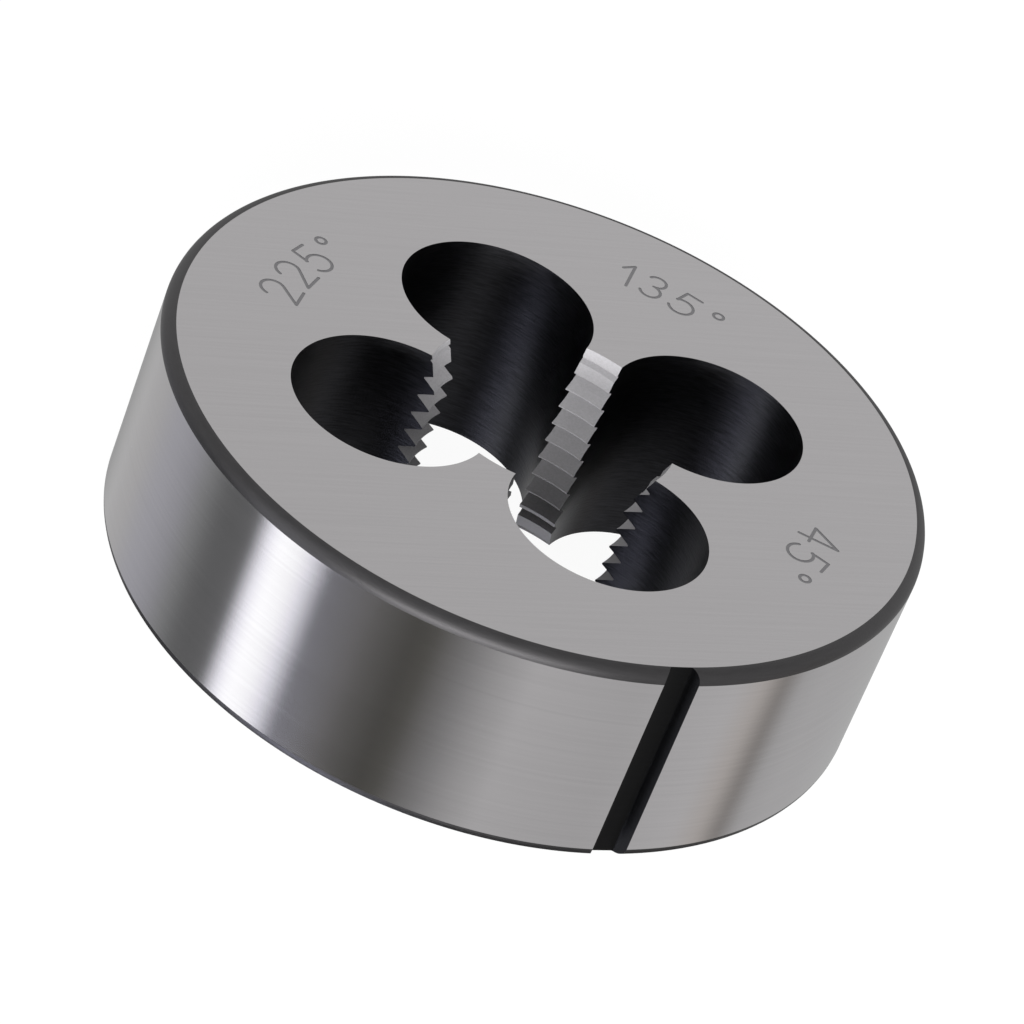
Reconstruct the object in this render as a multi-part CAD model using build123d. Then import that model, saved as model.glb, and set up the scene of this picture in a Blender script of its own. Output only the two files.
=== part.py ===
from build123d import *
import math
import os

# A solid round threading die for a 5/8 in bolt with 18 threads to the inch, in millimetres and degrees.
# The origin is the centre of the lower face, +Z is the bore's axis towards the marked face, and -Y is
# the side with the adjusting groove.

# Body: a turned disc, ground on both faces and on the outside
body_diameter = 50.8
body_thickness = 15.0
rim_radius = 0.8

# Chip holes: drilled through, round the bore, so that the metal left between two of them is a land
chip_hole_count = 4
chip_hole_circle = 22.25
land_neck = 2.63

# Thread: one right-hand start, 60 degree teeth that are nearly sharp at the crest and at the root
thread_pitch = 25.4 / 18
thread_core_diameter = 14.48
thread_angle = 60.0
crest_flat = 0.09
root_flat = 0.09
thread_start = 6.0

# Lead-in: a taper at both mouths of the bore, as wide at the face as the thread's root and a little more
lead_in_length = 2.7
mouth_clearance = 0.03

# Adjusting groove: a flat-bottomed V down the outside, in line with one chip hole
groove_azimuth = -90.0
groove_depth = 0.8
groove_floor_width = 1.45
groove_angle = 60.0

# How far a cutter runs past the face that it leaves
overrun = 1.0

# Sizes that follow from those above
body_radius = body_diameter / 2
core_radius = thread_core_diameter / 2
flank_slope = math.tan(math.radians(thread_angle / 2))
tooth_depth = (thread_pitch - crest_flat - root_flat) / 2 / flank_slope
root_radius = core_radius + tooth_depth
mouth_radius = root_radius + mouth_clearance
chip_hole_spacing = chip_hole_circle * math.sin(math.pi / chip_hole_count)
chip_hole_diameter = chip_hole_spacing - land_neck
ON_LOWER_FACE = (Align.CENTER, Align.CENTER, Align.MIN)


def turned_blank():
    """The disc before anything is cut in it, with both outer rims rounded."""
    disc = Cylinder(body_radius, body_thickness, align=ON_LOWER_FACE)
    rims = disc.edges().filter_by(GeomType.CIRCLE)
    return fillet(rims, rim_radius)


def chip_holes():
    """Drills for the chip holes, the first of them in line with the adjusting groove."""
    drill = Cylinder(chip_hole_diameter / 2, body_thickness + 2 * overrun, align=ON_LOWER_FACE)
    places = PolarLocations(chip_hole_circle / 2, chip_hole_count, start_angle=groove_azimuth)
    return places * (Pos(0, 0, -overrun) * drill)


def tapered_bore():
    """The bore at the teeth's crests, which flares to the mouth at each face."""
    taper_end = body_thickness - lead_in_length
    outline = Polyline(
        (0, 0),
        (mouth_radius, 0),
        (core_radius, lead_in_length),
        (core_radius, taper_end),
        (mouth_radius, body_thickness),
        (0, body_thickness),
        close=True,
    )
    return revolve(Plane.XZ * make_face(outline), Axis.Z)


def thread_turns():
    """The helical groove that leaves the teeth, one turn at a time, from below the body to above it."""
    path = Rot(0, 0, thread_start) * Helix(thread_pitch, thread_pitch, core_radius)
    start = path @ 0
    section_plane = Plane(origin=start, x_dir=start, z_dir=path % 0)
    # The section reaches half a crest flat into the bore, so that neighbouring turns don't meet
    inset = crest_flat / 2
    half_root = root_flat / 2
    half_mouth = half_root + (tooth_depth + inset) * flank_slope
    outline = Polyline(
        (-inset, -half_mouth),
        (tooth_depth, -half_root),
        (tooth_depth, half_root),
        (-inset, half_mouth),
        close=True,
    )
    turn = sweep(section_plane * make_face(outline), path=path, is_frenet=True)
    turn_count = math.ceil(body_thickness / thread_pitch) + 2
    return [Pos(0, 0, (index - 1) * thread_pitch) * turn for index in range(turn_count)]


def adjusting_groove():
    """The cutter for the groove, which widens outwards and runs past both faces."""
    wall_slope = math.tan(math.radians(groove_angle / 2))
    floor_distance = body_radius - groove_depth
    half_floor = groove_floor_width / 2
    cutter_depth = groove_depth + overrun
    half_top = half_floor + cutter_depth * wall_slope
    outline = Polyline(
        (floor_distance, -half_floor),
        (floor_distance + cutter_depth, -half_top),
        (floor_distance + cutter_depth, half_top),
        (floor_distance, half_floor),
        close=True,
    )
    cutter = extrude(make_face(outline), body_thickness + 2 * overrun)
    return Rot(0, 0, groove_azimuth) * Pos(0, 0, -overrun) * cutter


def threading_die():
    """The whole die: chip holes first, because they leave only the lands for the thread to cut."""
    die = turned_blank() - chip_holes() - adjusting_groove()
    return die - tapered_bore() - thread_turns()


os.makedirs("parts", exist_ok=True)
export_step(threading_die(), "parts/threading_die.step")
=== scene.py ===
import math

import bmesh
import bpy
from mathutils import Matrix, Quaternion, Vector


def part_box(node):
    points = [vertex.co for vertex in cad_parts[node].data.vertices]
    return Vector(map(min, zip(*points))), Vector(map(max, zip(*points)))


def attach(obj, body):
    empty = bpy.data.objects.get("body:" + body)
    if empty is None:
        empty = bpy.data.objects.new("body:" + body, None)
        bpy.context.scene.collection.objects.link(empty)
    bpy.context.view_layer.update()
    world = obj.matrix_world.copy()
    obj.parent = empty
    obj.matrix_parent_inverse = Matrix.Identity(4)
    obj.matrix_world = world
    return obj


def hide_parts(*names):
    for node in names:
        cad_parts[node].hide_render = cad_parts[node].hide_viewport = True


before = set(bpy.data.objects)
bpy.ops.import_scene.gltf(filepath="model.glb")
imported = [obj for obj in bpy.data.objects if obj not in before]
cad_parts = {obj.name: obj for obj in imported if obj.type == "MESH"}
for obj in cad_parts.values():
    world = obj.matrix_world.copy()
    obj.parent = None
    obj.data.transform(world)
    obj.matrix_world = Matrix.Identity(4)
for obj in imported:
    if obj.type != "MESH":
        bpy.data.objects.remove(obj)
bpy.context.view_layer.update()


# The blank
# A disc of tool steel, turned from bar. Both flat faces and the outside are ground bright after
# hardening. The two rounded rims are left black from the oxide bath.

MM = 0.001
lowest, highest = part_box("threading_die")
OUTER_RADIUS = highest.x
THICKNESS = highest.z - lowest.z
RIM_RADIUS = 0.8 * MM
BLANK_SIDES = 360
RIM_STEPS = 10


def linear(hex_colour):
    """An sRGB hex colour as the linear colour that a shader takes."""
    shares = [int(hex_colour[at:at + 2], 16) / 255 for at in (1, 3, 5)]
    bent = [s / 12.92 if s <= 0.04045 else ((s + 0.055) / 1.055) ** 2.4 for s in shares]
    return (*bent, 1.0)


def add_node(tree, kind, settings=None, inputs=None):
    """Adds a node. A socket given as an input is linked to it, and any other value is set on it."""
    node = tree.nodes.new(kind)
    for name, value in (settings or {}).items():
        setattr(node, name, value)
    for name, value in (inputs or {}).items():
        if isinstance(value, bpy.types.NodeSocket):
            tree.links.new(value, node.inputs[name])
        else:
            node.inputs[name].default_value = value
    return node


# A Mix node's sockets for numbers and for colours have the same names, so these go by their place
MIX_SHARE, MIX_FIRST, MIX_SECOND, MIX_COLOUR = 0, 6, 7, 2


def empty_material(name):
    """A material with no nodes yet."""
    material = bpy.data.materials.new(name)
    material.use_nodes = True
    material.node_tree.nodes.clear()
    return material


def worked_steel(
    name, dark, light, roughness, spread, lines, line_depth, grain_depth, metal=1.0, detail=3.0, grains=15.0,
    stretch=0.0,
):
    """Steel with the fine lines of the tool that worked it, all one way, and an even grain over them.

    lines is how many there are to the millimetre along X, Y and Z, and grains how many each way. Real
    ones are about 0.02 mm apart, and these are coarser, so that they show. stretch draws the shine out
    across lines that lie level.
    """
    material = empty_material(name)
    tree = material.node_tree
    place = add_node(tree, "ShaderNodeTexCoord")
    lines_at = add_node(tree, "ShaderNodeMapping", None, {
        "Vector": place.outputs["Object"], "Scale": [to_the_mm / MM for to_the_mm in lines],
    })
    line = add_node(tree, "ShaderNodeTexNoise", None, {
        "Vector": lines_at.outputs["Vector"], "Scale": 1.0, "Detail": detail, "Roughness": 0.6,
    })
    grain = add_node(tree, "ShaderNodeTexNoise", None, {
        "Vector": place.outputs["Object"], "Scale": grains / MM, "Detail": 1.0,
    })
    colour = add_node(tree, "ShaderNodeMix", {"data_type": "RGBA"}, {
        MIX_SHARE: line.outputs["Fac"], MIX_FIRST: linear(dark), MIX_SECOND: linear(light),
    })
    dullness = add_node(tree, "ShaderNodeMapRange", None, {
        "Value": line.outputs["Fac"], "To Min": roughness - spread, "To Max": roughness + spread,
    })
    line_bump = add_node(tree, "ShaderNodeBump", None, {
        "Height": line.outputs["Fac"], "Strength": 1.0, "Distance": line_depth,
    })
    grain_bump = add_node(tree, "ShaderNodeBump", None, {
        "Height": grain.outputs["Fac"], "Strength": 1.0, "Distance": grain_depth,
        "Normal": line_bump.outputs["Normal"],
    })
    shader = add_node(tree, "ShaderNodeBsdfPrincipled", None, {
        "Base Color": colour.outputs[MIX_COLOUR],
        "Metallic": metal,
        "Roughness": dullness.outputs["Result"],
        "Anisotropic": stretch,
        "Normal": grain_bump.outputs["Normal"],
    })
    if stretch:
        across_lines = add_node(tree, "ShaderNodeCombineXYZ", None, {"Z": 1.0})
        tree.links.new(across_lines.outputs["Vector"], shader.inputs["Tangent"])
    add_node(tree, "ShaderNodeOutputMaterial", None, {"Surface": shader.outputs["BSDF"]})
    return material


# Ground on a surface grinder: straight fine lines all one way, and an even grey with a soft sheen
face_steel = worked_steel(
    "ground_face_steel", "#9E9C9D", "#A8A6A7", roughness=0.2, spread=0.02, lines=(0.08, 5.0, 1.0),
    line_depth=0.0002 * MM, grain_depth=0.0003 * MM,
)
# Ground round and polished: nearly a mirror, whose fine rings draw the studio out into upright bands
side_steel = worked_steel(
    "ground_side_steel", "#9C9A9B", "#A6A4A5", roughness=0.12, spread=0.01, lines=(0.03, 0.03, 5.0),
    line_depth=0.00006 * MM, grain_depth=0.0011 * MM, stretch=0.6,
)
# Black oxide over cut steel is a black satin metal. The cutter's rings show in it, level on an upright
# wall and about an eighth of a millimetre apart, each a little darker or lighter than the next
CUT_AND_BLACKENED = {"spread": 0.06, "lines": (0.8, 0.8, 8.0), "detail": 2.0, "grains": 10.0}
# Oxide on the turned rims: a dark grey satin with one broad highlight
rim_oxide = worked_steel(
    "rim_oxide", "#3E3D3E", "#494849", roughness=0.46, line_depth=0.0005 * MM, grain_depth=0.008 * MM,
    stretch=0.6, **CUT_AND_BLACKENED,
)
BLANK_FINISHES = (face_steel, side_steel, rim_oxide)

blank_mesh = bpy.data.meshes.new("blank")
shape = bmesh.new()
bmesh.ops.create_cone(
    shape, cap_ends=True, segments=BLANK_SIDES, radius1=OUTER_RADIUS, radius2=OUTER_RADIUS,
    depth=THICKNESS, matrix=Matrix.Translation((0, 0, lowest.z + THICKNESS / 2)),
)
for face in shape.faces:
    lies_flat = abs(face.normal.z) > 0.5
    face.material_index = BLANK_FINISHES.index(face_steel if lies_flat else side_steel)
shape.to_mesh(blank_mesh)
shape.free()
for material in BLANK_FINISHES:
    blank_mesh.materials.append(material)
die = bpy.data.objects.new("finished_die", blank_mesh)
bpy.context.scene.collection.objects.link(die)
rounding = die.modifiers.new("rounded rims", "BEVEL")
rounding.width = RIM_RADIUS
rounding.segments = RIM_STEPS
rounding.material = BLANK_FINISHES.index(rim_oxide)


# The chip holes
# Four holes drilled right through round the bore, and blackened. Their walls are the cutting faces of
# the teeth where they meet the bore.

HOLE_COUNT = 4
HOLE_CIRCLE = 22.25 * MM
LAND_NECK = 2.63 * MM
HOLE_SIDES = 256
OVERRUN = 2 * MM
# Oxide on the drilled walls: nearly black, with the drill's rings in a soft streak of light
hole_oxide = worked_steel(
    "hole_oxide", "#141415", "#39393C", roughness=0.38, line_depth=0.012 * MM, grain_depth=0.008 * MM,
    stretch=0.4, **CUT_AND_BLACKENED,
)


def new_tree(name, sizes):
    """A Geometry Nodes tree with a named input for each size, and its Group Input's sockets."""
    tree = bpy.data.node_groups.new(name, "GeometryNodeTree")
    for label, (kind, _) in sizes.items():
        tree.interface.new_socket(name=label, in_out="INPUT", socket_type="NodeSocket" + kind)
    tree.interface.new_socket(name="Geometry", in_out="OUTPUT", socket_type="NodeSocketGeometry")
    return tree, tree.nodes.new("NodeGroupInput").outputs


def plain(piece):
    """Replaces the piece's mesh by what its modifiers make of it, and takes them off."""
    graph = bpy.context.evaluated_depsgraph_get()
    made = bpy.data.meshes.new_from_object(piece.evaluated_get(graph))
    piece.modifiers.clear()
    piece.data = made
    return piece


def grown(name, tree, sizes):
    """A plain mesh object with what the tree makes at these sizes."""
    piece = bpy.data.objects.new(name, bpy.data.meshes.new(name))
    bpy.context.scene.collection.objects.link(piece)
    modifier = piece.modifiers.new(name, "NODES")
    modifier.node_group = tree
    for socket in tree.interface.items_tree:
        if socket.in_out == "INPUT":
            modifier[socket.identifier] = sizes[socket.name][1]
    return plain(piece)


drill_sizes = {
    "Hole Count": ("Int", HOLE_COUNT),
    "Hole Circle Radius": ("Float", HOLE_CIRCLE / 2),
    "Drill Radius": ("Float", (HOLE_CIRCLE * math.sin(math.pi / HOLE_COUNT) - LAND_NECK) / 2),
    "Drill Sides": ("Int", HOLE_SIDES),
    "Drill Length": ("Float", THICKNESS + 2 * OVERRUN),
    "Middle Height": ("Float", lowest.z + THICKNESS / 2),
    "Wall": ("Material", hole_oxide),
}
drill_tree, size = new_tree("chip_drills", drill_sizes)
ring = add_node(drill_tree, "GeometryNodeMeshCircle", None, {
    "Vertices": size["Hole Count"], "Radius": size["Hole Circle Radius"],
})
drill = add_node(drill_tree, "GeometryNodeMeshCylinder", None, {
    "Vertices": size["Drill Sides"], "Radius": size["Drill Radius"], "Depth": size["Drill Length"],
})
height = add_node(drill_tree, "ShaderNodeCombineXYZ", None, {"Z": size["Middle Height"]})
raised = add_node(drill_tree, "GeometryNodeTransform", None, {
    "Geometry": drill.outputs["Mesh"], "Translation": height.outputs["Vector"],
})
drills = add_node(drill_tree, "GeometryNodeInstanceOnPoints", None, {
    "Points": ring.outputs["Mesh"], "Instance": raised.outputs["Geometry"],
})
solid = add_node(drill_tree, "GeometryNodeRealizeInstances", None, {"Geometry": drills.outputs["Instances"]})
walls = add_node(drill_tree, "GeometryNodeSetMaterial", None, {
    "Geometry": solid.outputs["Geometry"], "Material": size["Wall"],
})
add_node(drill_tree, "NodeGroupOutput", None, {"Geometry": walls.outputs["Geometry"]})
chip_drills = grown("chip_drills", drill_tree, drill_sizes)


# The thread
# One right-hand start of nearly sharp 60 degree teeth, cut into the lands by a tap. The tap's surface
# is a sheet of rows that climb one pitch a turn: root, root, crest, crest, and again.

THREAD_PITCH = 25.4 / 18 * MM
CORE_RADIUS = 14.48 / 2 * MM
FLANK_ANGLE = math.radians(30)
CREST_FLAT = 0.09 * MM
ROOT_FLAT = 0.09 * MM
TOOTH_DEPTH = (THREAD_PITCH - CREST_FLAT - ROOT_FLAT) / 2 / math.tan(FLANK_ANGLE)
ROOT_RADIUS = CORE_RADIUS + TOOTH_DEPTH
THREAD_START = math.radians(6)
TURN_STEPS = 240
SPARE_TURNS = 2
BLUNT_END = OVERRUN / 2
TOUCHING = 0.001 * MM
# Bare steel as the tap leaves it: a matt light grey that shades off down the bore
tooth_steel = worked_steel(
    "bare_tooth_steel", "#6B6A6C", "#8A898B", metal=0.12, roughness=0.65, spread=0.04,
    lines=(6.0, 6.0, 12.0), line_depth=0.001 * MM, grain_depth=0.004 * MM,
)

tap_sizes = {
    "Turn Steps": ("Int", TURN_STEPS),
    "Turns": ("Int", math.ceil((THICKNESS + 2 * OVERRUN) / THREAD_PITCH) + 2 * SPARE_TURNS),
    "Turns Below": ("Int", math.ceil(OVERRUN / THREAD_PITCH) + SPARE_TURNS),
    "Pitch": ("Float", THREAD_PITCH),
    "Core Radius": ("Float", CORE_RADIUS),
    "Tooth Depth": ("Float", TOOTH_DEPTH),
    "Crest Flat": ("Float", CREST_FLAT),
    "Root Flat": ("Float", ROOT_FLAT),
    "Start Angle": ("Float", THREAD_START),
    "Lower End": ("Float", lowest.z - OVERRUN),
    "Upper End": ("Float", highest.z + OVERRUN),
    "Blunt Ends": ("Float", BLUNT_END),
    "Steel": ("Material", tooth_steel),
}
tap_tree, size = new_tree("tap", tap_sizes)

# A turn has four rows in the sheet: the two edges of the root, then the two edges of the crest
CORNERS = 4
# Rows are whole numbers, so one is told from the next half way between them
HALF = 0.5
FULL_TURN = 2 * math.pi
# Each step's result, what is done, and to what. A name stands for a size or for an earlier result
TAP_STEPS = (
    # The vertex's column and row in the sheet
    ("columns", "ADD", "Turn Steps", 1),
    ("rows", "MULTIPLY_ADD", "Turns", CORNERS, 1),
    ("middle of index", "ADD", "Index", HALF),
    ("columns passed", "DIVIDE", "middle of index", "rows"),
    ("column", "FLOOR", "columns passed"),
    ("rows passed", "MULTIPLY", "column", "rows"),
    ("row", "SUBTRACT", "Index", "rows passed"),
    # Its angle round the bore, and the whole turns below it
    ("part of turn", "DIVIDE", "column", "Turn Steps"),
    ("angle", "MULTIPLY", "part of turn", FULL_TURN),
    ("corner", "MODULO", "row", CORNERS),
    ("corners passed", "SUBTRACT", "row", "corner"),
    ("turns passed", "DIVIDE", "corners passed", CORNERS),
    ("turn", "SUBTRACT", "turns passed", "Turns Below"),
    # How high the root's middle is there
    ("angle from start", "SUBTRACT", "angle", "Start Angle"),
    ("part from start", "DIVIDE", "angle from start", FULL_TURN),
    ("turns climbed", "ADD", "turn", "part from start"),
    ("climb", "MULTIPLY", "turns climbed", "Pitch"),
    # How far above that the corner is
    ("at root", "LESS_THAN", "corner", 1 + HALF),
    ("at crest", "SUBTRACT", 1, "at root"),
    ("edge", "MODULO", "corner", 2),
    ("side of flat", "SUBTRACT", "edge", HALF),
    ("root flat or none", "MULTIPLY", "at root", "Root Flat"),
    ("flat", "MULTIPLY_ADD", "at crest", "Crest Flat", "root flat or none"),
    ("rise from middle", "MULTIPLY", "side of flat", "flat"),
    ("half pitch", "DIVIDE", "Pitch", 2),
    ("rise in turn", "MULTIPLY_ADD", "at crest", "half pitch", "rise from middle"),
    ("rise", "ADD", "climb", "rise in turn"),
    # How far out it is: blunt near both ends of the tap, and on the axis in the first and last row
    ("lower shoulder", "ADD", "Lower End", "Blunt Ends"),
    ("upper shoulder", "SUBTRACT", "Upper End", "Blunt Ends"),
    ("below shoulder", "LESS_THAN", "rise", "lower shoulder"),
    ("above shoulder", "GREATER_THAN", "rise", "upper shoulder"),
    ("past shoulders", "ADD", "below shoulder", "above shoulder"),
    ("between shoulders", "SUBTRACT", 1, "past shoulders"),
    ("cuts", "MULTIPLY", "at root", "between shoulders"),
    ("reach", "MULTIPLY_ADD", "cuts", "Tooth Depth", "Core Radius"),
    ("first row", "LESS_THAN", "row", HALF),
    ("rows but last", "SUBTRACT", "rows", 1 + HALF),
    ("last row", "GREATER_THAN", "row", "rows but last"),
    ("at pole", "ADD", "first row", "last row"),
    ("off pole", "SUBTRACT", 1, "at pole"),
    ("radius", "MULTIPLY", "reach", "off pole"),
    # Where that puts it
    ("cosine", "COSINE", "angle"),
    ("sine", "SINE", "angle"),
    ("x", "MULTIPLY", "radius", "cosine"),
    ("y", "MULTIPLY", "radius", "sine"),
    ("rise from lower end", "MAXIMUM", "rise", "Lower End"),
    ("z", "MINIMUM", "rise from lower end", "Upper End"),
)

index = add_node(tap_tree, "GeometryNodeInputIndex")
known = {label: size[label] for label in tap_sizes}
known["Index"] = index.outputs["Index"]
for result, operation, *values in TAP_STEPS:
    taken = {at: known.get(value, value) for at, value in enumerate(values)}
    known[result] = add_node(tap_tree, "ShaderNodeMath", {"operation": operation}, taken).outputs[0]
sheet = add_node(tap_tree, "GeometryNodeMeshGrid", None, {
    "Vertices X": known["columns"], "Vertices Y": known["rows"],
})
tap_point = add_node(tap_tree, "ShaderNodeCombineXYZ", None, {
    "X": known["x"], "Y": known["y"], "Z": known["z"],
})
wound = add_node(tap_tree, "GeometryNodeSetPosition", None, {
    "Geometry": sheet.outputs["Mesh"], "Position": tap_point.outputs["Vector"],
})
closed = add_node(tap_tree, "GeometryNodeMergeByDistance", None, {
    "Geometry": wound.outputs["Geometry"], "Distance": TOUCHING,
})
whole = add_node(tap_tree, "GeometryNodeRealizeInstances", None, {"Geometry": closed.outputs["Geometry"]})
bright = add_node(tap_tree, "GeometryNodeSetMaterial", None, {
    "Geometry": whole.outputs["Geometry"], "Material": size["Steel"],
})
add_node(tap_tree, "NodeGroupOutput", None, {"Geometry": bright.outputs["Geometry"]})
tap = grown("tap", tap_tree, tap_sizes)


# The lead-in tapers
# A cone at both mouths of the bore, which cuts the first two teeth down so that the rod starts easily.
# It is bare steel like the teeth.

LEAD_IN = 2.7 * MM
MOUTH_CLEARANCE = 0.03 * MM
MOUTH_RADIUS = ROOT_RADIUS + MOUTH_CLEARANCE
TAPER = (MOUTH_RADIUS - CORE_RADIUS) / LEAD_IN
INNER_OVERRUN = 0.5 * MM
INNER_END = LEAD_IN + INNER_OVERRUN


def lead_in_cutter(name, face_height, inwards):
    """A cone that is widest outside the face and ends inside the bore. inwards is 1 or -1 along Z."""
    cutter_mesh = bpy.data.meshes.new(name)
    shape = bmesh.new()
    radii = (MOUTH_RADIUS + OVERRUN * TAPER, MOUTH_RADIUS - INNER_END * TAPER)
    low, high = radii if inwards > 0 else reversed(radii)
    middle = face_height + inwards * (INNER_END - OVERRUN) / 2
    bmesh.ops.create_cone(
        shape, cap_ends=True, segments=TURN_STEPS, radius1=low, radius2=high,
        depth=INNER_END + OVERRUN, matrix=Matrix.Translation((0, 0, middle)),
    )
    shape.to_mesh(cutter_mesh)
    shape.free()
    cutter_mesh.materials.append(tooth_steel)
    cutter = bpy.data.objects.new(name, cutter_mesh)
    bpy.context.scene.collection.objects.link(cutter)
    return cutter


lower_lead_in = lead_in_cutter("lower_lead_in", lowest.z, 1)
upper_lead_in = lead_in_cutter("upper_lead_in", highest.z, -1)


# The adjusting groove
# A flat-bottomed V milled down the outside over one chip hole, for the point of the stock's screw, and
# blackened.

GROOVE_AZIMUTH = math.radians(-90)
GROOVE_DEPTH = 0.8 * MM
GROOVE_FLOOR = 1.45 * MM
GROOVE_WALL = math.radians(30)
GROOVE_CORNER = 0.1 * MM
# Oxide on the milled groove: the deepest black, with a faint shine along its corners
groove_oxide = worked_steel(
    "groove_oxide", "#141414", "#1A1A1B", roughness=0.36, line_depth=0.0005 * MM, grain_depth=0.003 * MM,
    **CUT_AND_BLACKENED,
)

cutter_depth = GROOVE_DEPTH + OVERRUN
half_floor = GROOVE_FLOOR / 2
half_top = half_floor + cutter_depth * math.tan(GROOVE_WALL)
floor_distance = OUTER_RADIUS - GROOVE_DEPTH
outline = (
    (floor_distance, -half_floor),
    (floor_distance + cutter_depth, -half_top),
    (floor_distance + cutter_depth, half_top),
    (floor_distance, half_floor),
)
groove_mesh = bpy.data.meshes.new("groove_cutter")
shape = bmesh.new()
lower_outline = [shape.verts.new((x, y, lowest.z - OVERRUN)) for x, y in outline]
base = shape.faces.new(reversed(lower_outline))
pushed = bmesh.ops.extrude_face_region(shape, geom=[base])
lifted = [item for item in pushed["geom"] if isinstance(item, bmesh.types.BMVert)]
bmesh.ops.translate(shape, verts=lifted, vec=(0, 0, THICKNESS + 2 * OVERRUN))
floor_corners = [
    edge for edge in shape.edges
    if abs(edge.verts[0].co.z - edge.verts[1].co.z) > OVERRUN
    and all(abs(vert.co.x - floor_distance) < TOUCHING for vert in edge.verts)
]
bmesh.ops.bevel(
    shape, geom=floor_corners, offset=GROOVE_CORNER, offset_type="OFFSET", segments=3, profile=0.5,
    affect="EDGES",
)
bmesh.ops.rotate(shape, verts=shape.verts, matrix=Matrix.Rotation(GROOVE_AZIMUTH, 3, "Z"))
bmesh.ops.recalc_face_normals(shape, faces=shape.faces)
shape.to_mesh(groove_mesh)
shape.free()
groove_mesh.materials.append(groove_oxide)
groove_cutter = bpy.data.objects.new("groove_cutter", groove_mesh)
bpy.context.scene.collection.objects.link(groove_cutter)


# The angle marks
# Plain numbers etched in the face over three lands, as on a dial: each land's angle in degrees from
# the adjusting groove. The acid leaves a shallow flat floor, greyer and duller than the ground steel.

MARKED_LANDS = (135, 45, -45)
MARK_HEIGHT = 2.7 * MM
MARK_FOOT = 17.45 * MM
MARK_GAP = 0.95 * MM
STROKE_WIDTH = 0.22 * MM
ETCH_DEPTH = 0.015 * MM
DEEPER_SHARE = 0.1
ARC_STEP = 10
CAP_STEPS = 4
CAP_TURN = math.radians(80)
SAME_POINT = 1e-6
# Etched steel: a fine dull grey, a little darker than the lines of the ground face round it
etched_steel = worked_steel(
    "etched_mark_steel", "#747375", "#7E7D7F", roughness=0.45, spread=0.03, lines=(2.0, 2.0, 2.0),
    line_depth=0.0005 * MM, grain_depth=0.0005 * MM,
)


def arc(middle_x, middle_y, radius, first, last):
    """Points along an arc between two angles in degrees."""
    steps = round(abs(last - first) / ARC_STEP)
    turns = [math.radians(first + (last - first) * at / steps) for at in range(steps + 1)]
    return [(middle_x + radius * math.cos(turn), middle_y + radius * math.sin(turn)) for turn in turns]


# Each sign's width and strokes, in shares of its height
SIGNS = {
    "1": (0.34, [[(0.08, 0.74), (0.34, 1.0)], [(0.34, 1.0), (0.34, 0.0)]]),
    "2": (0.60, [arc(0.30, 0.70, 0.30, 168, -44) + [(0.01, 0.0)], [(0.01, 0.0), (0.60, 0.0)]]),
    "3": (0.54, [arc(0.28, 0.765, 0.235, 155, -90), arc(0.27, 0.265, 0.265, 90, -155)]),
    "4": (0.62, [[(0.46, 0.0), (0.46, 1.0)], [(0.46, 1.0), (0.0, 0.30)], [(0.0, 0.30), (0.62, 0.30)]]),
    "5": (0.58, [[(0.53, 1.0), (0.10, 1.0)], [(0.10, 1.0), (0.05, 0.54)], arc(0.26, 0.32, 0.32, 134, -150)]),
    "degree": (0.26, [arc(0.13, 0.87, 0.13, 0, 360)]),
}


def stations(points):
    """The stroke's middle line as (point, direction across it, half width), with round ends."""
    closed_loop = (Vector(points[0]) - Vector(points[-1])).length < SAME_POINT
    found = []
    for at, point in enumerate(points):
        before = points[at - 1] if at > 0 else (points[-2] if closed_loop else point)
        after = points[at + 1] if at + 1 < len(points) else (points[1] if closed_loop else point)
        along = (Vector(after) - Vector(before)).normalized()
        found.append((Vector(point), Vector((-along.y, along.x)), STROKE_WIDTH / 2))
    if closed_loop:
        return found[:-1], True
    for end, outwards in ((0, -1), (-1, 1)):
        point, across, half = found[end]
        along = Vector((across.y, -across.x)) * outwards
        for step in range(1, CAP_STEPS + 1):
            turn = CAP_TURN * step / CAP_STEPS
            cap = (point + along * half * math.sin(turn), across, half * math.cos(turn))
            found.insert(0 if end == 0 else len(found), cap)
    return found, False


# A ribbon's four corners at a point, in order round it
ROUND_RIBBON = (0, 1, 3, 2)


def etch_stroke(shape, points, place, depth):
    """Adds a closed ribbon along the points, from as far above the face as its floor lies below."""
    line, closed_loop = stations(points)
    rows_across = []
    for point, across, half in line:
        sides = [point + across * half, point - across * half]
        corners = [(*side, highest.z + rise) for side in sides for rise in (-depth, depth)]
        rows_across.append([shape.verts.new(place @ Vector(corner)) for corner in corners])
    pairs = list(zip(rows_across, rows_across[1:]))
    if closed_loop:
        pairs.append((rows_across[-1], rows_across[0]))
    else:
        for row_of_four in (rows_across[0], rows_across[-1]):
            shape.faces.new([row_of_four[at] for at in ROUND_RIBBON])
    for one, other in pairs:
        for at, following in zip(ROUND_RIBBON, ROUND_RIBBON[1:] + ROUND_RIBBON[:1]):
            shape.faces.new((one[at], one[following], other[following], other[at]))


placed_signs = []
for land in MARKED_LANDS:
    signs = (*str(land - round(math.degrees(GROOVE_AZIMUTH))), "degree")
    widths = [SIGNS[sign][0] * MARK_HEIGHT for sign in signs]
    reach = -(sum(widths) + MARK_GAP * (len(widths) - 1)) / 2
    for sign, sign_width in zip(signs, widths):
        turned_by = (reach + sign_width / 2) / (MARK_FOOT + MARK_HEIGHT / 2)
        upright = Matrix.Rotation(math.radians(land - 90) - turned_by, 4, "Z")
        placed_signs.append((upright @ Matrix.Translation((-sign_width / 2, MARK_FOOT, 0)), SIGNS[sign][1]))
        reach += sign_width + MARK_GAP

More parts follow.
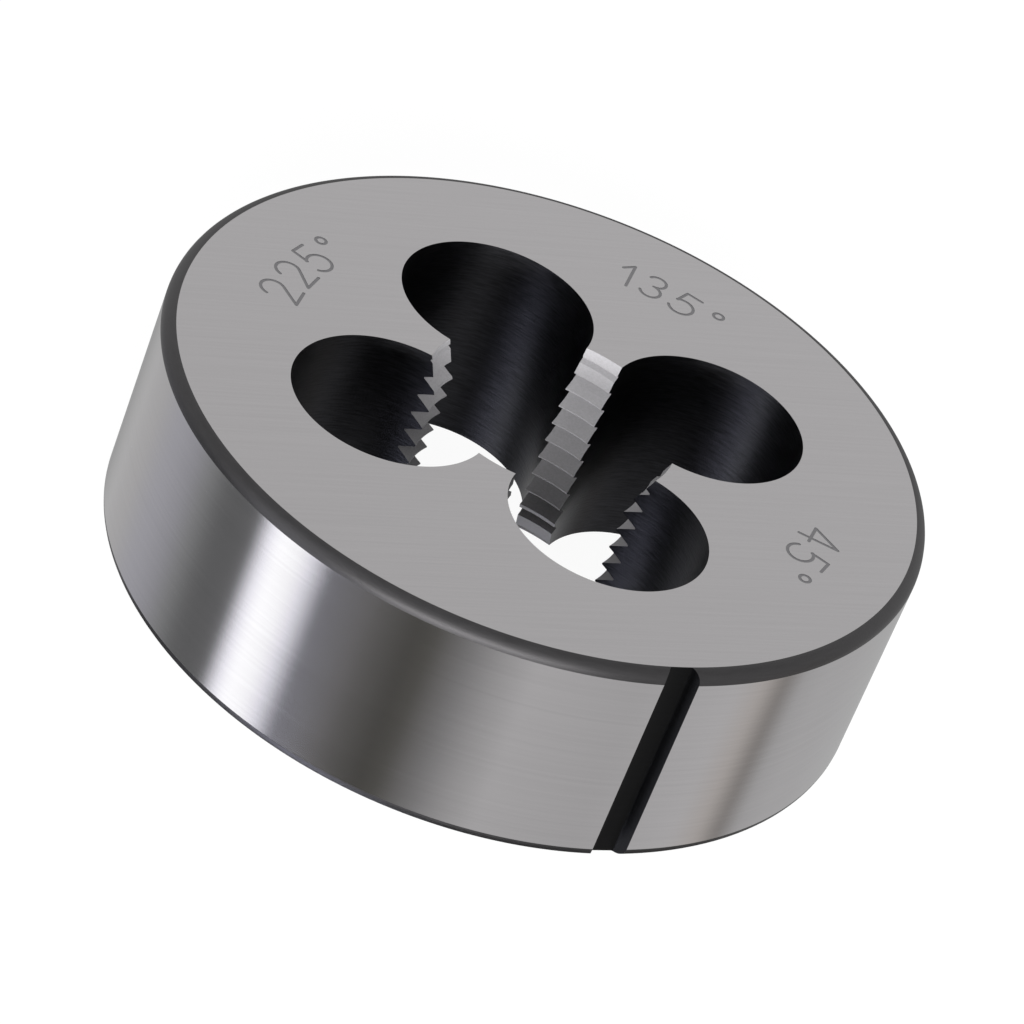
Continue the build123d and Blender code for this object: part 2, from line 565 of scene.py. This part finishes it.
# Strokes that meet are cut one after the other, each a little deeper, because the cut fails where
# two cutters overlap
etch_cutters = []
for order in range(max(len(strokes) for _, strokes in placed_signs)):
    etch_mesh = bpy.data.meshes.new(f"etch_cutter_{order}")
    shape = bmesh.new()
    for place, strokes in placed_signs:
        for stroke in strokes[order:order + 1]:
            points = [(x * MARK_HEIGHT, y * MARK_HEIGHT) for x, y in stroke]
            etch_stroke(shape, points, place, ETCH_DEPTH * (1 + order * DEEPER_SHARE))
    bmesh.ops.recalc_face_normals(shape, faces=shape.faces)
    shape.to_mesh(etch_mesh)
    shape.free()
    etch_mesh.materials.append(etched_steel)
    etch_cutter = bpy.data.objects.new(etch_mesh.name, etch_mesh)
    bpy.context.scene.collection.objects.link(etch_cutter)
    etch_cutters.append(etch_cutter)


# Cutting the die
# The tools take their bites out of the blank, and each cut face keeps its tool's finish. Edges are
# sharp where two finishes meet and where the surface turns by more than a fillet's step.

SMOOTH_TURN = math.radians(14)
TWIN_DISTANCE = 0.0001 * MM
FLAT_FINISHES = (face_steel, etched_steel)

cutters = (chip_drills, tap, lower_lead_in, upper_lead_in, groove_cutter, *etch_cutters)
for cutter in cutters:
    cut = die.modifiers.new(cutter.name, "BOOLEAN")
    cut.operation = "DIFFERENCE"
    cut.solver = "EXACT"
    cut.material_mode = "TRANSFER"
    cut.object = cutter
plain(die)
for cutter in cutters:
    bpy.data.objects.remove(cutter)

shape = bmesh.new()
shape.from_mesh(die.data)
bmesh.ops.remove_doubles(shape, verts=shape.verts, dist=TWIN_DISTANCE)
for face in shape.faces:
    face.smooth = die.data.materials[face.material_index] not in FLAT_FINISHES
for edge in shape.edges:
    finishes = {face.material_index for face in edge.link_faces}
    edge.smooth = len(finishes) == 1 and edge.calc_face_angle(0) < SMOOTH_TURN
shape.to_mesh(die.data)
shape.free()

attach(die, "root")
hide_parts("threading_die")


# The floor
# A plain pale floor. The camera sees it mostly as plain white and a little as lit, so that it keeps a
# soft shadow. Dull steel gets a plain white bounce from it, and bright steel sees the studio past it.

FLOOR_SIZE = 6.0
FLOOR_GAP = 0.02 * MM
PLAIN_WHITE = 1.03
SEEN_WHITE_SHARE = 0.92
BOUNCED_WHITE_SHARE = 0.95

floor_mesh = bpy.data.meshes.new("floor")
shape = bmesh.new()
bmesh.ops.create_grid(
    shape, x_segments=1, y_segments=1, size=FLOOR_SIZE / 2,
    matrix=Matrix.Translation((0, 0, lowest.z - FLOOR_GAP)),
)
shape.to_mesh(floor_mesh)
shape.free()
floor = bpy.data.objects.new("floor", floor_mesh)
bpy.context.scene.collection.objects.link(floor)
# Matt white paint: no shine, only the die's soft shadow
floor_paint = empty_material("pale_floor")
tree = floor_paint.node_tree
rays = add_node(tree, "ShaderNodeLightPath")
lit = add_node(tree, "ShaderNodeBsdfDiffuse", None, {"Color": linear("#F4F4F4")})
white = add_node(tree, "ShaderNodeEmission", None, {"Color": linear("#FFFFFF"), "Strength": PLAIN_WHITE})
clear = add_node(tree, "ShaderNodeBsdfTransparent")
seen_share = add_node(tree, "ShaderNodeMath", {"operation": "MULTIPLY"}, {
    0: rays.outputs["Is Camera Ray"], 1: SEEN_WHITE_SHARE,
})
white_share = add_node(tree, "ShaderNodeMath", {"operation": "MULTIPLY_ADD"}, {
    0: rays.outputs["Is Diffuse Ray"], 1: BOUNCED_WHITE_SHARE, 2: seen_share.outputs[0],
})
seen = add_node(tree, "ShaderNodeMixShader", None, {
    0: white_share.outputs[0], 1: lit.outputs[0], 2: white.outputs[0],
})
surface = add_node(tree, "ShaderNodeMixShader", None, {
    0: rays.outputs["Is Glossy Ray"], 1: seen.outputs[0], 2: clear.outputs[0],
})
add_node(tree, "ShaderNodeOutputMaterial", None, {"Surface": surface.outputs[0]})
floor_mesh.materials.append(floor_paint)


# The studio
# A white room. Below the die hang dark cards and one long strip lamp, which draw the bands on the
# polished outside. A low soft lamp lights the teeth and gives the shadow, two weak ones reach the
# teeth at the sides, and a long thin one down at the floor draws the rims' highlight.

world = bpy.data.worlds.new("studio")
bpy.context.scene.world = world
world.use_nodes = True
# What a ray finds here depends on its kind, so the room isn't sampled as a lamp
world.cycles.sampling_method = "NONE"
tree = world.node_tree
tree.nodes.clear()
rays = add_node(tree, "ShaderNodeLightPath")
direction = add_node(tree, "ShaderNodeTexCoord")
parts = add_node(tree, "ShaderNodeSeparateXYZ", None, {0: direction.outputs["Generated"]})
azimuth = add_node(tree, "ShaderNodeMath", {"operation": "ARCTAN2"}, {
    0: parts.outputs["Y"], 1: parts.outputs["X"],
})

# The ring of walls, cards and strip lamp round the die: azimuths in degrees, each with the brightness
# there and the tint
STUDIO = (
    # A pale wall, from behind the die round to the left
    (-304, 0.39, "#FFFFFF"),
    (-284, 0.41, "#FFFFFF"),
    (-266, 0.72, "#FFFFFF"),
    (-250, 0.78, "#FFFFFF"),
    (-236, 0.82, "#F6F7FF"),
    (-230, 0.80, "#F6F7FF"),
    # A dark card
    (-222, 0.71, "#F6F7FF"),
    (-214, 0.53, "#F6F9FA"),
    (-206, 0.32, "#F6F9FA"),
    (-201, 0.28, "#F6F9FA"),
    (-190.5, 0.29, "#F6F9FA"),
    # The strip lamp
    (-185, 2.50, "#F6F7FF"),
    (-181, 2.90, "#FBFDFE"),
    (-174, 2.53, "#FBFDFE"),
    (-169.5, 1.97, "#F6F7FF"),
    # A wide dark card
    (-163, 0.34, "#F6F7FF"),
    (-156, 0.29, "#FFFFFF"),
    (-148, 0.27, "#FFFEFA"),
    (-134, 0.145, "#FFFEF3"),
    (-128, 0.185, "#FFFEF3"),
    # A white wall on the right
    (-118, 0.44, "#FFFFFF"),
    (-108, 0.75, "#FFFFFF"),
    (-98, 0.99, "#FFFFFF"),
    (-68, 0.90, "#FFFFFF"),
    (-36, 1.00, "#FFFFFF"),
    (-26.5, 0.94, "#FFF9F3"),
    # A narrow dark card
    (-18.5, 0.45, "#FFF9F3"),
    # A wall that darkens, from there round to behind the die
    (-10.5, 0.80, "#FFFFFF"),
    (0, 0.81, "#FFFFFF"),
    (20, 0.68, "#FFFFFF"),
    (40, 0.51, "#FFFFFF"),
    (54, 0.46, "#FFFFFF"),
)
BRIGHTEST = max(brightness for _, brightness, _ in STUDIO)
FIRST_AZIMUTH = STUDIO[0][0]
# The room's heights run from -1 straight down to 1 straight up
GROUND_TOP = -0.76
CARD_FOOT = -0.66
CARD_TOP = 0.02
WALL_FOOT = 0.16
WALL_TOP = 0.5
CEILING_FOOT = 0.85
WALL_LIGHT = 1.02
CEILING_LIGHT = 0.75

turned = add_node(tree, "ShaderNodeMath", {"operation": "MULTIPLY_ADD"}, {
    0: azimuth.outputs[0], 1: 1 / FULL_TURN, 2: -FIRST_AZIMUTH / 360,
})
share = add_node(tree, "ShaderNodeMath", {"operation": "FRACT"}, {0: turned.outputs[0]})
ring_of_light = add_node(tree, "ShaderNodeValToRGB", None, {0: share.outputs[0]})
stops = ring_of_light.color_ramp.elements
stops.remove(stops[1])
for at, (degrees, brightness, tint) in enumerate(STUDIO):
    stop = stops[0] if at == 0 else stops.new((degrees - FIRST_AZIMUTH) / 360)
    stop.color = [channel * brightness / BRIGHTEST for channel in linear(tint)[:3]] + [1.0]
ring_strength = add_node(tree, "ShaderNodeVectorMath", {"operation": "SCALE"}, {
    0: ring_of_light.outputs["Color"], "Scale": BRIGHTEST,
})
# Over the cards the walls are white, and only the strip lamp is brighter
above = add_node(tree, "ShaderNodeMapRange", {"interpolation_type": "SMOOTHSTEP"}, {
    "Value": parts.outputs["Z"], "From Min": CARD_TOP, "From Max": WALL_FOOT,
})
over_cards = add_node(tree, "ShaderNodeMix", {"data_type": "RGBA"}, {
    MIX_SHARE: above.outputs["Result"],
    MIX_FIRST: ring_strength.outputs["Vector"],
    MIX_SECOND: linear("#FFFFFF"),
})
highest_light = add_node(tree, "ShaderNodeVectorMath", {"operation": "MAXIMUM"}, {
    0: ring_strength.outputs["Vector"], 1: over_cards.outputs[MIX_COLOUR],
})
ceiling = add_node(tree, "ShaderNodeMapRange", None, {
    "Value": parts.outputs["Z"],
    "From Min": WALL_TOP, "From Max": CEILING_FOOT,
    "To Min": WALL_LIGHT, "To Max": CEILING_LIGHT,
})
# Near the ground the room is dark but for the foot of the strip lamp, wider and a little blue, so that
# the walls of the chip holes show it and not much else
LOW_STRIP_AZIMUTH = -168.3
LOW_STRIP_CORE = 6
LOW_STRIP_EDGE = 22
LOW_STRIP_LIGHT = (7.2, 7.4, 9.0)
LOW_ROOM_SHARE = 0.08
off_strip = add_node(tree, "ShaderNodeMath", {"operation": "SUBTRACT"}, {
    0: share.outputs[0], 1: (LOW_STRIP_AZIMUTH - FIRST_AZIMUTH) / 360,
})
off_either_way = add_node(tree, "ShaderNodeMath", {"operation": "ABSOLUTE"}, {0: off_strip.outputs[0]})
on_strip = add_node(tree, "ShaderNodeMapRange", {"interpolation_type": "SMOOTHSTEP"}, {
    "Value": off_either_way.outputs[0], "From Min": LOW_STRIP_EDGE / 360, "From Max": LOW_STRIP_CORE / 360,
})
low_strip = add_node(tree, "ShaderNodeVectorMath", {"operation": "SCALE"}, {
    0: LOW_STRIP_LIGHT, "Scale": on_strip.outputs["Result"],
})
low_light = add_node(tree, "ShaderNodeVectorMath", {"operation": "MULTIPLY_ADD"}, {
    0: ring_strength.outputs["Vector"], 1: (LOW_ROOM_SHARE,) * 3, 2: low_strip.outputs["Vector"],
})
over_ground = add_node(tree, "ShaderNodeMapRange", None, {
    "Value": parts.outputs["Z"], "From Min": GROUND_TOP, "From Max": CARD_FOOT,
})
upper_light = add_node(tree, "ShaderNodeVectorMath", {"operation": "SCALE"}, {
    0: highest_light.outputs["Vector"], "Scale": ceiling.outputs["Result"],
})
studio = add_node(tree, "ShaderNodeMix", {"data_type": "RGBA"}, {
    MIX_SHARE: over_ground.outputs["Result"],
    MIX_FIRST: low_light.outputs["Vector"],
    MIX_SECOND: upper_light.outputs["Vector"],
})
# Only metal sees the studio. The camera sees plain white, and dull surfaces get an even weak fill
FILL = 0.2
plain_rays = add_node(tree, "ShaderNodeMath", {"operation": "MAXIMUM"}, {
    0: rays.outputs["Is Camera Ray"], 1: rays.outputs["Is Transmission Ray"],
})
fill_or_white = add_node(tree, "ShaderNodeMapRange", None, {
    "Value": plain_rays.outputs[0], "To Min": FILL, "To Max": 1.0,
})
seen_colour = add_node(tree, "ShaderNodeMix", {"data_type": "RGBA"}, {
    MIX_SHARE: rays.outputs["Is Glossy Ray"],
    MIX_FIRST: fill_or_white.outputs["Result"],
    MIX_SECOND: studio.outputs[MIX_COLOUR],
})
sky = add_node(tree, "ShaderNodeBackground", None, {
    "Color": seen_colour.outputs[MIX_COLOUR], "Strength": 1.0,
})
add_node(tree, "ShaderNodeOutputWorld", None, {"Surface": sky.outputs[0]})

LAMP_DISTANCE = 0.7
# Each soft lamp's azimuth and elevation in degrees, its width, height and watts, and whether metal
# sees it
LAMPS = {
    "key_lamp": (-112, 15, 0.33, 0.33, 13.6, False),
    "left_teeth_lamp": (-8, 27, 0.2, 0.2, 1.6, False),
    "right_teeth_lamp": (98, 21, 0.2, 0.2, 3.0, False),
    "rim_lamp": (-122, 1.9, 0.75, 0.06, 7.4, True),
}
for name, (lamp_azimuth, elevation, width, height, watts, metal_sees_it) in LAMPS.items():
    light = bpy.data.lights.new(name, "AREA")
    light.shape = "RECTANGLE"
    light.size = width
    light.size_y = height
    light.energy = watts
    lamp = bpy.data.objects.new(name, light)
    bpy.context.scene.collection.objects.link(lamp)
    round_z = math.radians(lamp_azimuth)
    up = math.radians(elevation)
    back = Vector((math.cos(round_z) * math.cos(up), math.sin(round_z) * math.cos(up), math.sin(up)))
    lamp.location = Vector((0, 0, THICKNESS / 2)) + back * LAMP_DISTANCE
    lamp.rotation_euler = (-back).to_track_quat("-Z", "Y").to_euler()
    lamp.visible_glossy = metal_sees_it


# The camera
# It looks down on the die from the grooved side with a long lens, and leans over to one side.

VIEW_AZIMUTH = math.radians(-31.67)
VIEW_ELEVATION = math.radians(34.17)
VIEW_LEAN = math.radians(21.93)
VIEW_DISTANCE = 303.6 * MM
AIM = Vector((-0.653, -1.203, 7.513)) * MM
FOCAL_LENGTH = 167.1
NEAREST_SEEN = 10 * MM

lens = bpy.data.cameras.new("camera")
lens.lens = FOCAL_LENGTH
lens.clip_start = NEAREST_SEEN
camera = bpy.data.objects.new("camera", lens)
bpy.context.scene.collection.objects.link(camera)
back = Vector((
    math.sin(VIEW_AZIMUTH) * math.cos(VIEW_ELEVATION),
    -math.cos(VIEW_AZIMUTH) * math.cos(VIEW_ELEVATION),
    math.sin(VIEW_ELEVATION),
))
camera.location = AIM + back * VIEW_DISTANCE
camera.rotation_mode = "QUATERNION"
camera.rotation_quaternion = (-back).to_track_quat("-Z", "Y") @ Quaternion((0, 0, 1), VIEW_LEAN)
bpy.context.scene.camera = camera
bpy.context.scene.view_settings.view_transform = "Standard"
